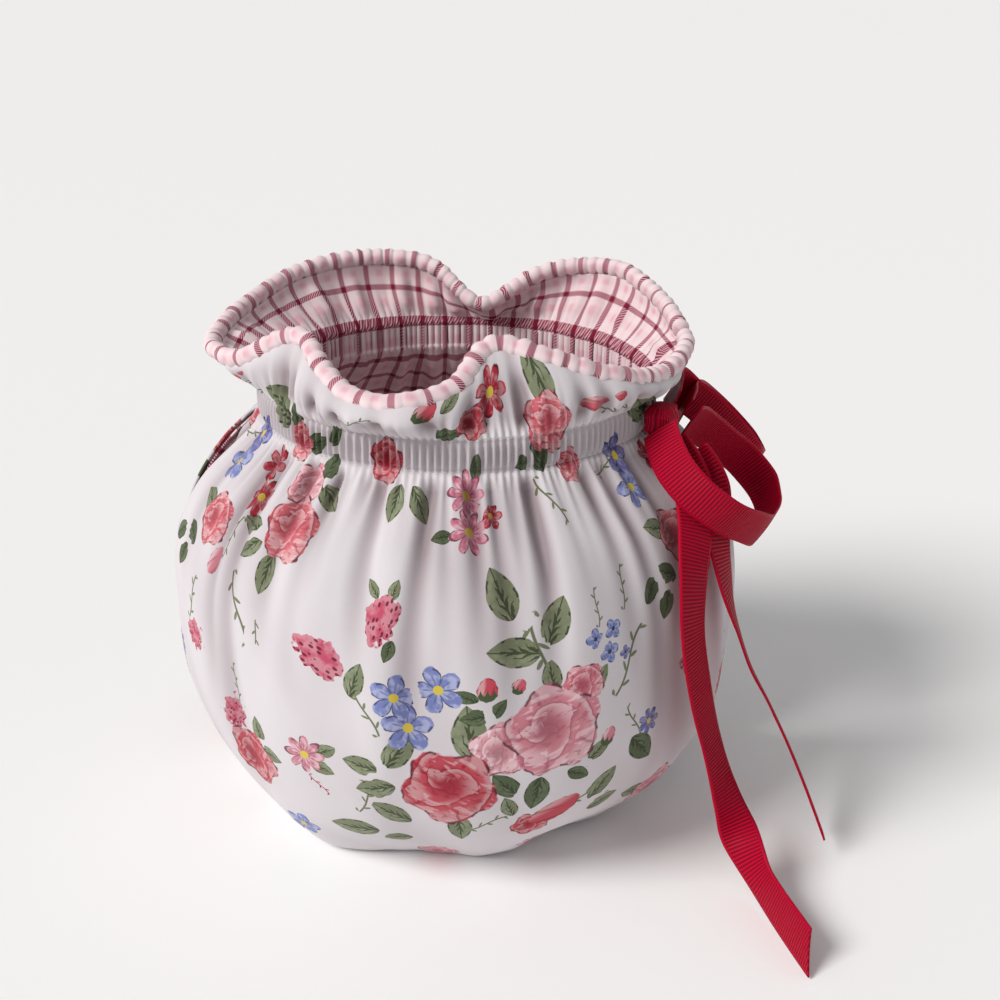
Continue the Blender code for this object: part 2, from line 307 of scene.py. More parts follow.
# middle u and v, half length, turn in degrees, colour, and petals or slimness in tenths
MOTIFS: dict[Layer, tuple] = {
    Layer.SPRIG: (
        (37, 52.5, 10.5, 14, SAGE, 0),
        (-28, 56, 9, 60, SAGE, 0),
        (9, 47, 8, 20, SAGE, 0),
        (-27, 88, 9, 118, SAGE, 0),
        (24.6, 106, 14, -80, SAGE, 0),
        (19.6, 116.6, 3.4, -8, SAGE, 0),
        (43, 117, 6, 84, SAGE, 0),
        (54, 98, 12, 56, SAGE, 0),
        (54.5, 120, 7, 76, SAGE, 0),
        (-44, 57.5, 5, -56, CORAL, 0),
        (-76, 82.5, 7, 96, SAGE, 0),
        (-74.5, 108, 12.5, -66, SAGE, 0),
        (-66, 104, 7, -94, SAGE, 0),
        (-86, 127, 8, -104, SAGE, 0),
        (36.4, 150, 9.5, -66, SAGE, 0),
        (68, 156, 7, 10, SAGE, 0),
        (56.5, 77, 7.6, 112, SAGE, 0),
        (82, 100, 9, 70, SAGE, 0),
        (72, 176, 9, 170, SAGE, 0),
        (-40, 182, 9, 30, SAGE, 0),
    ),
    Layer.LEAF_UNDER: (
        (3.5, 83.5, 9.5, 95, SAGE, 0),
        (1, 45, 7, 275, SAGE, 0),
        (14.5, 64, 6.5, 130, MOSS, 0),
        (24, 59.5, 7, 262, MOSS, 0),
        (-79, 169.5, 6.4, 110, MOSS, 0),
        (-66, 164, 6, 20, MOSS, 0),
    ),
    Layer.LEAF: (
        (-29, 69, 6.2, 172, SAGE, 0),
        (-17, 76, 7.2, 52, SAGE, 0),
        (-25, 61, 6.8, 196, SAGE, 0),
        (-21, 50.5, 7.4, 150, SAGE, 0),
        (-35, 39, 8.6, 176, SAGE, 0),
        (-21, 34, 5.6, 190, SAGE, 0),
        (16, 54.5, 4.8, 110, SAGE, 0),
        (47, 57, 7, 52, SAGE, 0),
        (50, 47, 6, 18, SAGE, 0),
        (2.8, 95, 4, 150, MOSS, 0),
        (5, 88.6, 4.6, 188, MOSS, 0),
        (11.8, 91, 3.8, 48, MOSS, 0),
        (27.5, 99.5, 5.4, 98, SAGE, 0),
        (42, 96, 5, 52, SAGE, 0),
        (43.6, 72, 4.8, 36, SAGE, 0),
        (37, 65, 4.4, -30, MOSS, 0),
        (-30.4, 97, 5.8, 72, SAGE, 0),
        (13.5, 124.5, 8.4, 112, SAGE, 0),
        (29.5, 115.5, 7.6, 66, SAGE, 0),
        (16.4, 107.5, 8.2, 174, SAGE, 0),
        (-26, 124.5, 3.2, 130, SAGE, 0),
        (-19, 125, 3.2, 70, SAGE, 0),
        (-20, 107.6, 3.6, 250, MOSS, 0),
        (-40.8, 71, 4.4, 24, SAGE, 0),
        (-42, 64.6, 4.2, -22, SAGE, 0),
        (-62, 62.6, 5.2, -12, SAGE, 0),
        (-66, 70, 5, 100, SAGE, 0),
        (-56, 158, 6.4, 70, MOSS, 0),
        (-51.5, 149, 6.6, -40, SAGE, 0),
        (-55, 168, 5.4, 60, MOSS, 0),
        (-78.5, 133.5, 6, 165, SAGE, 0),
        (-75, 127, 5.6, 222, SAGE, 0),
        (-66, 121, 6.6, 262, SAGE, 0),
        (-92, 172, 10.5, 152, SAGE, 0),
        (-24, 150, 6.6, 262, SAGE, 0),
        (-14.5, 150.5, 6.4, 300, SAGE, 0),
        (-5.6, 140.8, 3.8, 190, MOSS, 0),
        (8, 162.5, 4.4, 80, MOSS, 0),
        (35, 165.5, 6.8, 110, MOSS, 0),
        (29, 163, 4.6, 200, MOSS, 0),
        (66, 116.5, 5.4, 40, MOSS, 0),
        (73.5, 119, 5.4, 150, MOSS, 0),
        (71, 110.5, 5, 250, MOSS, 0),
        (61, 65.5, 7.6, -50, MOSS, 0),
        (76, 132, 6, 160, SAGE, 0),
        (66, 42, 6.6, 160, SAGE, 0),
        (84, 24, 7, 280, SAGE, 0),
        (-66, 24, 6.6, 200, SAGE, 0),
        (39, 21, 6.4, -10, SAGE, 0),
        (38.5, 186.5, 10.5, -76, SAGE, 0),
        (-2.5, 190.5, 5, 40, SAGE, 0),
        (-3, 174, 6, 20, MOSS, 0),
    ),
    Layer.CLUSTER: (
        (-22.5, 116.6, 10.5, 72, "#C46F80", 14),
        (-41.5, 102, 12, -28, "#C46F80", 16),
        (-78, 71, 8.6, 50, "#C46F80", 11),
        (84, 88, 8, 0, "#C46F80", 11),
    ),
    Layer.BLOSSOM_UNDER: (
        (-14.2, 84, 9.2, 20, BLUE, 5),
        (48, 109.5, 3.8, 30, BLUE, 4),
        (52.4, 101, 2.6, 0, VIOLET, 4),
        (-83.5, 142, 8, 25, CORAL, 7),
        (4.2, 143, 8.4, 20, "#D4869B", 8),
        (76, 146.5, 8.6, 30, BLUE, 5),
    ),
    Layer.BLOSSOM: (
        (-18.3, 93.5, 8.6, 8, BLUE, 5),
        (-5.4, 97, 8.8, 40, BLUE, 5),
        (41, 108.3, 3.8, 0, BLUE, 4),
        (46, 103.2, 4.2, 15, BLUE, 4),
        (37.6, 98.4, 3.6, 0, BLUE, 4),
        (-47.5, 68.5, 7.8, 0, "#D2909E", 8),
        (-88.5, 153, 7.6, 0, CORAL, 7),
        (3.6, 154.5, 8.6, 0, "#D4869B", 8),
        (12.6, 147.5, 5.2, 0, CORAL, 6),
        (77, 158, 8.6, 0, VIOLET, 5),
        (63, 74.5, 5.4, 0, VIOLET, 7),
        (-58, 30, 8.4, 0, BLUE, 5),
        (30, 24, 8, 0, "#DD8FA6", 8),
        (16, 184, 8.6, 0, CORAL, 7),
    ),
    Layer.ROSE_UNDER: (
        (12.5, 77.5, 11.5, 80, "#DD9FA9", 0),
        (37, 95.5, 8.5, 40, "#CF7482", 0),
        (-64, 150.5, 10, 60, "#DB949E", 0),
    ),
    Layer.ROSE: (
        (28.5, 82, 18.5, 20, PINK, 0),
        (-2, 63, 18, -30, CORAL, 0),
        (24, 44, 8, 36, "#BA4450", 0),
        (-72, 57, 13.5, 60, CORAL, 0),
        (-61.5, 136.5, 13.5, 10, SALMON, 0),
        (-75.5, 163, 8, 0, SALMON, 0),
        (-30.5, 163, 9, 0, CORAL, 0),
        (50, 159.5, 7.4, 0, SALMON, 0),
        (86, 128, 11, 30, SALMON, 0),
        (78, 38, 13, 0, PINK, 0),
        (-8, 15, 11, 0, PINK, 0),
        (40, 174.5, 12.5, 0, SALMON, 0),
        (7, 177.5, 8.6, 40, "#BF4652", 0),
    ),
    Layer.BUD: (
        (8.6, 97.5, 4.4, 90, "#CB4B5B", 12),
        (17.9, 97.2, 3, 60, "#CE5F6E", 12),
        (31.5, 50.5, 10.5, 36, "#BE4754", 20),
        (46.5, 75.5, 4, 70, PINK, 14),
        (-91.5, 117.5, 6, 72, PINK, 20),
        (-12.5, 189, 6.5, 60, CORAL, 13),
        (61.5, 181, 8, 15, SALMON, 20),
        (71.5, 185, 4.6, 40, CORAL, 20),
    ),
}


@dataclass(frozen=True)
class Print:
    """The printed cloth's motifs, which repeat across and up the cloth.

    A motif's own coordinates are the cloth's u and v, moved to its middle, turned back and divided by its
    half length. Its reach is the length of those coordinates, with y stretched for narrow motifs. Its margin
    is 1.5 less the reach, or less than 0.5 in the cells next to another motif of its layer, so it is over 0.5
    inside the motif only.
    """

    repeat_u: float = 186.0
    repeat_v: float = 206.0
    narrow: float = 1.25
    full_margin: float = 1.5
    cell: float = 1.3  # millimetres that a motif keeps from a neighbour of its layer

    def place_on(self, piece: bpy.types.Object, u: np.ndarray, v: np.ndarray) -> None:
        """Store each layer's nearest motif on a piece as two point attributes.

        Args:
            piece: the piece of printed cloth.
            u: the cloth's width coordinate of each point, in millimetres.
            v: the cloth's length coordinate of each point, in millimetres.
        """
        u, v = u.ravel()[:, None], v.ravel()[:, None]
        for layer, rows in MOTIFS.items():
            table = np.array([row[:4] for row in rows])
            tints = np.array([linear(row[4]) for row in rows])
            tints[:, 3] = [row[5] / 10 for row in rows]
            turn = np.radians(table[:, 3])
            du = wrapped(u - table[:, 0], self.repeat_u)
            dv = wrapped(v - table[:, 1], self.repeat_v)
            x = (du * np.cos(turn) + dv * np.sin(turn)) / table[:, 2]
            y = (dv * np.cos(turn) - du * np.sin(turn)) / table[:, 2]
            stretch = self.narrow if layer in (Layer.SPRIG, Layer.LEAF, Layer.LEAF_UNDER) else 1.0
            reach = np.hypot(x, y * stretch)
            nearest = reach.argmin(axis=1)
            pick = (np.arange(len(u)), nearest)
            lead = np.partition(reach, 1, axis=1)[:, 1] - reach[pick]
            clear = self.full_margin - 1.0 + 4.0 * (lead - 2.0 * self.cell / table[nearest, 2])
            margin = np.clip(np.minimum(self.full_margin - reach[pick], clear), 0, self.full_margin)
            local = np.stack([x[pick], y[pick], margin], -1).astype(np.float32)
            place = piece.data.attributes.new(f"{layer.value}_place", "FLOAT_VECTOR", "POINT")
            place.data.foreach_set("vector", local.ravel())
            tint = piece.data.attributes.new(f"{layer.value}_tint", "FLOAT_COLOR", "POINT")
            tint.data.foreach_set("color", tints[nearest].astype(np.float32).ravel())


class Brush:
    """Paints one motif of each kind from its own coordinates, in shader nodes."""

    def __init__(self, tree: Tree, layer: Layer) -> None:
        """Read a layer's attributes, and work out the angle and the reach round the motif's middle.

        Args:
            tree: the material's tree.
            layer: the layer whose motifs are painted.
        """
        self.tree = tree
        place = add(tree, "Attribute", output=1, attribute_name=f"{layer.value}_place")
        self.tint = add(tree, "Attribute", attribute_name=f"{layer.value}_tint")
        self.x, self.y, self.margin = axes(tree, place)
        self.petals = Field(self.tint.node.outputs["Alpha"]) * 10.0
        self.flat = add(tree, "CombineXYZ", self.x, self.y, 0.0)
        self.reach = Field(add(tree, "VectorMath", self.flat, output=1, operation="LENGTH"))
        self.angle = self.y.then("ARCTAN2", self.x)
        self.hand = self.noise(2.6, 2.0)

    def noise(self, scale: float, detail: float, stretch: tuple = (), distortion: float = 0.0) -> Field:
        """Brush marks: noise over the motif, turned and squeezed where a turn and a squeeze are given.

        Args:
            scale: marks across one half length.
            detail: how many finer octaves.
            stretch: turn in radians and squeeze, or empty.
            distortion: how much the marks curl.

        Returns:
            The noise, about 0 to 1.
        """
        where = self.squeezed(*stretch) if stretch else self.flat
        named = {"Vector": where, "Scale": scale, "Detail": detail, "Distortion": distortion}
        return Field(add(self.tree, "TexNoise", named=named))

    def squeezed(self, turn: float, squeeze: float) -> Socket:
        """The motif's coordinates, turned by an angle in radians and squeezed across."""
        named = {"Rotation": (0.0, 0.0, turn), "Scale": (1.0, squeeze, 1.0)}
        return add(self.tree, "Mapping", self.flat, named=named)

    def shade(self, value: float, saturation: float = 1.0) -> Socket:
        """The motif's own tint, made darker or lighter."""
        return add(self.tree, "HueSaturation", 0.5, saturation, value, 1.0, self.tint)

    def oval(self, widening: float, slimness: Any) -> Field:
        """Distance from the middle in an oval: the root of x squared plus the scaled y, squared."""
        width = self.y * (self.x * widening + slimness)
        return (width * width + self.x * self.x).then("SQRT")

    def cut(self, inside: Field, softness: float) -> Field:
        """Coverage of the motif: inside its outline and inside its margin."""
        return inside.step(0.0, softness) * self.margin.then("GREATER_THAN", 0.5)

    def ticks(self, inside: Field, count: float, depth: float) -> Field:
        """Short dark strokes along the outline: a wave round the angle, within a depth of the edge."""
        wave = (self.angle * count + self.hand * 9.0).then("SINE")
        return inside.step(depth, depth * 0.5) * wave.step(0.1, 0.5)

    def rose(self) -> tuple[Field, Socket]:
        """A full rose: scalloped petals wind out on a spiral, each dark at its foot and light at its lip.

        Returns:
            The motif's coverage and its colour.
        """
        lobes = (self.angle * 5.0 + 0.8).then("SINE")
        inside = self.hand * 0.3 + (lobes * 0.06 + 0.66) - self.reach
        off = add(self.tree, "VectorMath", self.flat, (0.13, -0.1, 0.0), operation="ADD")
        heart = Field(add(self.tree, "VectorMath", off, output=1, operation="LENGTH"))
        x, y, _ = axes(self.tree, off)
        bearing = y.then("ARCTAN2", x)
        turns = bearing * (1 / (2 * math.pi)) + heart * 2.9
        scallop = (bearing * 1.5 + heart * 5.0).then("SINE").then("ABSOLUTE")
        swirl = (scallop * 0.5 + (self.hand * 0.7 + turns)).then("FRACT")
        lip = swirl.step(0.4, 0.85) * self.reach.step(0.1, 0.45)
        seam = (self.angle * 2.5 + self.hand).then("COSINE").then("ABSOLUTE")
        seam = seam.step(0.2, 0.03) * self.reach.step(0.42, 0.55)
        foot = swirl.step(0.22, 0.02).then("MAXIMUM", seam)
        strokes = self.noise(3.4, 2.0, (0.9, 2.6), 0.6)
        colour = coats(
            self.tree,
            self.tint,
            (heart.step(0.5, 0.05), self.shade(0.66, 1.1)),
            (lip * 0.62, self.shade(1.25, 0.42)),
            (foot * 0.62, self.shade(0.55, 1.15)),
            (strokes.step(0.57, 0.62) * self.reach.step(0.2, 0.45) * 0.42, self.shade(1.5, 0.3)),
            (strokes.step(0.42, 0.37) * 0.5, self.shade(0.62, 1.2)),
            (self.ticks(inside, 9.0, 0.08) * 0.85, linear("#4A1A26")),
        )
        return self.cut(inside, 0.035), colour

    def blossom(self) -> tuple[Field, Socket]:
        """An open flower: its outline follows the cosine of half the petal count times the angle.

        Returns:
            The motif's coverage and its colour.
        """
        lobe = (self.angle * (self.petals * 0.5)).then("COSINE").then("ABSOLUTE")
        inside = self.hand * 0.3 + (lobe.then("POWER", 0.55) * 0.52 + 0.22) - self.reach
        gap = lobe.step(0.42, 0.12) * self.reach.step(0.75, 0.3)
        vein = lobe.step(0.965, 0.995) * self.reach.step(0.62, 0.4)
        middle = coats(self.tree, self.shade(0.2, 1.1), (self.petals.step(4.4, 4.6), linear("#D6C24E")))
        colour = coats(
            self.tree,
            self.shade(0.84, 1.1),
            (self.hand.step(0.42, 0.62), self.shade(1.15, 0.7)),
            (gap * 0.75, self.shade(0.38, 1.2)),
            (vein * 0.6, self.shade(0.4, 1.2)),
            (self.ticks(inside, 5.0, 0.15) * 0.9, self.shade(0.22, 1.1)),
            (self.reach.step(0.19, 0.15), middle),
        )
        return self.cut(inside, 0.04), colour

    def leaf(self) -> tuple[Field, Socket]:
        """A pointed leaf along x: half width falls as a power of 1 - x squared; dark wedges on the rib.

        Returns:
            The motif's coverage and its colour.
        """
        room = (self.x * self.x * -1.0 + 1.0).then("MAXIMUM", 0.0)
        half = room.then("POWER", 0.75) * (self.x * -0.14 + 0.58)
        side = self.y.then("ABSOLUTE")
        inside = self.hand * 0.12 + half - side - 0.06
        comb = (self.hand * 1.8 + (side * -1.4 + self.x) * 2.2).then("FRACT")
        wedge = comb * comb * self.x.step(0.85, -0.75) * 0.46 + 0.025
        dusk = self.y.step(0.1, -0.16) * self.hand.step(0.42, 0.52)
        beat = (self.x * 9.0 + self.hand * 8.0).then("SINE")
        colour = coats(
            self.tree,
            self.shade(0.85, 1.1),
            (self.hand.step(0.35, 0.65), self.shade(1.15, 0.85)),
            (dusk * 0.6, self.shade(0.62, 1.15)),
            (side.step(wedge, wedge * 0.7) * 0.82, linear("#2F3A24")),
            (inside.step(0.13, 0.08) * beat.step(0.2, 0.5) * 0.85, linear("#2B3224")),
        )
        return self.cut(inside, 0.04), colour

    def bud(self) -> tuple[Field, Socket]:
        """A closed bud along x: an egg as slim as its tenths say, with green sepals where it is short.

        Returns:
            The motif's coverage and its colour.
        """
        slimness = self.petals * 0.1
        inside = self.hand * 0.3 + 0.72 - self.oval(0.3, slimness)
        beat = (self.y * 12.0 + self.x * 4.0).then("SINE")
        points = (self.y * 7.0).then("SINE").then("ABSOLUTE")
        sepals = (points * 0.4 + self.x).step(0.02, -0.06) * slimness.step(1.7, 1.6)
        colour = coats(
            self.tree,
            self.tint,
            (self.y.step(0.0, 0.3), self.shade(1.25, 0.6)),
            (beat.step(0.6, 0.95) * self.x.step(0.35, 0.0) * 0.5, self.shade(0.5, 1.3)),
            (self.ticks(inside, 6.0, 0.12) * 0.8, linear("#4F1D28")),
            (sepals, linear("#4C5A3C")),
        )
        return self.cut(inside, 0.05), colour

    def cluster(self) -> tuple[Field, Socket]:
        """A head of tiny pink flowers: a ragged oval as slim as its tenths say, with dark dashes over it.

        Returns:
            The motif's coverage and its colour.
        """
        inside = self.noise(3.0, 1.5) * 1.15 + 0.16 - self.oval(0.0, self.petals * 0.1)
        named = {"Vector": self.squeezed(0.6, 1.9), "Scale": 4.6, "Randomness": 0.9}
        spots = Field(add(self.tree, "TexVoronoi", named=named))
        colour = coats(
            self.tree,
            self.shade(0.95, 1.2),
            (self.hand.step(0.4, 0.6), self.shade(1.1, 0.85)),
            (spots.step(0.4, 0.31) * 0.9, linear("#641830")),
        )
        return self.cut(inside, 0.05), colour

    def sprig(self) -> tuple[Field, Socket]:
        """A thin stem along x on a slow sine, with narrow leaves on alternate sides at even steps.

        Returns:
            The motif's coverage and its colour.
        """
        spacing = 0.36
        off = self.y - (self.x * 2.6).then("SINE") * 0.1
        room = self.x.then("ABSOLUTE").step(0.96, 0.9)
        line = off.then("ABSOLUTE").step(0.05, 0.02) * room
        cell = self.x * (1 / spacing)
        flip = cell.then("FLOOR").then("FLOORED_MODULO", 2.0) * 2.0 - 1.0
        along = (cell.then("FRACT") - 0.5) * spacing
        rise = off * flip - 0.12
        a = (along + rise) * 5.0
        b = (rise - along) * 15.0
        leaf = (a * a + b * b).step(1.1, 0.8) * room
        colour = coats(self.tree, self.shade(0.62, 1.1), (leaf, self.shade(0.8, 1.1)))
        return line.then("MAXIMUM", leaf) * self.margin.then("GREATER_THAN", 0.5), colour


# ---------------------------------------------------------------- finishes


@dataclass(frozen=True)
class PrintedCotton:
    """Plain-weave cotton, roller-printed: a matt pale ground with painterly garden flowers.

    The weave is drawn at 0.7 mm a thread, twice as coarse as it is, so that it shows as a faint grain.
    """

    ground: str = "#D9D5D8"
    blush: str = "#D5CDD1"
    # dusk is the colour of the painted shade in the creases; the next number is how strongly it is laid at
    # most
    dusk: str = "#A8999D"
    crease_shade_amount: float = 0.85
    thread: float = 0.7
    roughness: float = 0.88
    ior: float = 1.5

    def build(self) -> bpy.types.Material:
        """Build the material: ground, then each layer of motifs over it, then painted shade in the creases,
        then bumps of weave and creases.

        Returns:
            The finished material.
        """
        material, tree = new_material("roller_printed_cotton")
        cloth = add(tree, "UVMap", uv_map="cloth")
        mottle = add(tree, "TexNoise", named={"Vector": cloth, "Scale": 0.035, "Detail": 2.0})
        colour = coats(tree, linear(self.ground), (mottle, linear(self.blush)))
        for layer in Layer:
            brush = Brush(tree, layer)
            painters: dict[Layer, Callable] = {
                Layer.SPRIG: brush.sprig,
                Layer.LEAF_UNDER: brush.leaf,
                Layer.LEAF: brush.leaf,
                Layer.CLUSTER: brush.cluster,
                Layer.BLOSSOM_UNDER: brush.blossom,
                Layer.BLOSSOM: brush.blossom,
                Layer.ROSE_UNDER: brush.rose,
                Layer.ROSE: brush.rose,
                Layer.BUD: brush.bud,
            }
            colour = coats(tree, colour, painters[layer]())
        # Painted shade: the colour is multiplied by dusk where the cloth folds inwards and over the band, by
        # the sheets' point attribute
        named = {6: colour, 7: linear(self.dusk)}
        shaded = add(tree, "Mix", 1.0, output=2, data_type="RGBA", blend_type="MULTIPLY", named=named)
        crease_shade = Field(add(tree, "Attribute", output=2, attribute_name="crease_shade"))
        colour = coats(tree, colour, (crease_shade * self.crease_shade_amount, shaded))
        weave = weave_height(tree, cloth, self.thread)
        finish_cloth(tree, colour, weave, self.roughness, self.ior, bump=0.12)
        return material


@dataclass(frozen=True)
class CheckCotton:
    """Yarn-dyed cotton check: crimson twill-hatched stripes on pale pink, darkest where two stripes cross."""

    ground: str = "#E9D6D9"
    pale: str = "#DDA3AF"
    stripe: str = "#902244"
    cross: str = "#761232"
    repeat: float = 12.6
    stripe_width: float = 2.5
    hatch: float = 1.1
    thread: float = 0.7
    roughness: float = 0.88
    ior: float = 1.5

    def build(self, name: str = "yarn_dyed_check_cotton") -> bpy.types.Material:
        """Build the material from the two stripe sets across and up the cloth.

        Args:
            name: the finish's name.

        Returns:
            The finished material.
        """
        material, tree = new_material(name)
        cloth = add(tree, "UVMap", uv_map="cloth")
        u, v, _ = axes(tree, cloth)
        half = self.stripe_width / self.repeat / 2
        lines, halos = [], []
        for across in (u, v):
            off = ((across * (1 / self.repeat)).then("FRACT") - 0.5).then("ABSOLUTE")
            lines.append(off.step(half + 0.01, half - 0.015))
            halos.append(off.step(0.30, 0.46))
        twill = ((u + v) * (1 / self.hatch)).then("FRACT")
        hatch = twill.step(0.5, 0.62, 1.0, 0.38)
        soft = halos[0] * halos[1] * 0.35 + (halos[0] + halos[1]) * 0.22
        colour = coats(
            tree,
            linear(self.ground),
            (soft, linear(self.pale)),
            (lines[0].then("MAXIMUM", lines[1]) * hatch, linear(self.stripe)),
            (lines[0] * lines[1], linear(self.cross)),
        )
        weave = weave_height(tree, cloth, self.thread)
        finish_cloth(tree, colour, weave, self.roughness, self.ior, bump=0.15)
        return material


@dataclass(frozen=True)
class GrosgrainRibbon:
    """Woven polyester grosgrain: round ribs straight across, a smooth selvedge and a soft sheen."""

    # lit is the colour on the tops of the ribs, and the next the painted shade in the grooves between them
    lit: str = "#C0062F"
    groove_shade: str = "#7C0420"
    rib: float = 1.1
    selvedge: float = 0.9
    width: float = 12.0
    roughness: float = 0.48
    ior: float = 1.54

    def build(self) -> bpy.types.Material:
        """Build the material: ribs are a sine along the ribbon, left out along both selvedges. Their colour
        is painted shade in the grooves and lit colour on the tops.

        Returns:
            The finished material.
        """
        material, tree = new_material("crimson_grosgrain_ribbon")
        across, along, _ = axes(tree, add(tree, "UVMap", uv_map="cloth"))
        wave = (along * (2 * math.pi / self.rib)).then("SINE") * 0.5 + 0.5
        inner = self.width / 2 - self.selvedge
        ribbed = across.then("ABSOLUTE").step(inner + 0.2, inner)
        height = wave * ribbed + (ribbed * -1.0 + 1.0) * 0.7
        # Painted shade and light: the colour runs from the grooves' shade to the lit colour on the ribs'
        # tops, and sits between them on the selvedges
        colour = coats(tree, linear(self.groove_shade), (height, linear(self.lit)))
        finish_cloth(tree, colour, height, self.roughness, self.ior, bump=0.5, sheen=0.0, shine=0.07)
        return material


def weave_height(tree: Tree, cloth: Socket, thread: float) -> Field:
    """Height of a plain weave: warp and weft sines multiplied, plus slow creases of noise.

    Args:
        tree: the material's tree.
        cloth: the cloth's own coordinates, in millimetres.
        thread: spacing of the threads, in millimetres.

    Returns:
        The height, about 0 to 1.
    """
    u, v, _ = axes(tree, cloth)
    warp, weft = ((across * (math.pi / thread)).then("SINE") for across in (u, v))
    creases = add(tree, "TexNoise", named={"Vector": cloth, "Scale": 0.16, "Detail": 3.0, "Roughness": 0.55})
    return warp * weft * 0.12 + creases


def finish_cloth(
    tree: Tree,
    colour: Socket,
    height: Field,
    roughness: float,
    ior: float,
    bump: float,
    sheen: float = 0.12,
    shine: float = 0.22,
) -> None:
    """Close a cloth material with its shader, sheen and bump.

    Args:
        tree: the material's tree.
        colour: the fibre's colour.
        height: the relief, 0 to 1.
        roughness: the fibre's roughness.
        ior: the fibre's index of refraction.
        bump: strength of the bump.
        sheen: weight of the fuzz at grazing angles.
        shine: level of the plain highlight.
    """
    normal = add(tree, "Bump", bump, 0.0006, named={"Height": height})
    surface = add(
        tree,
        "BsdfPrincipled",
        named={
            "Base Color": colour,
            "Roughness": roughness,
            "IOR": ior,
            "Specular IOR Level": shine,
            "Sheen Weight": sheen,
            "Sheen Roughness": 0.5,
            "Normal": normal,
        },
    )
    add(tree, "OutputMaterial", surface)


# ---------------------------------------------------------------- the cosy's cloth


class Side(Enum):
    """The two halves of the cosy, with their first and last angles."""

    FRONT = ("front", -180.0, 0.0)
    BACK = ("back", 0.0, 180.0)


@dataclass(frozen=True)
class Slit:
    """An eye-shaped gap between the two halves, from one height to another."""

    low: float
    high: float
    half_width: float


@dataclass(frozen=True)
class Gathers:
    """A set of gather folds.

    It has how many, their ranges of depth and length, their half width at the band, and how much wider they
    get with each millimetre from it.
    """

    count: int
    depth: tuple
    length: tuple
    half_width: float
    widening: float


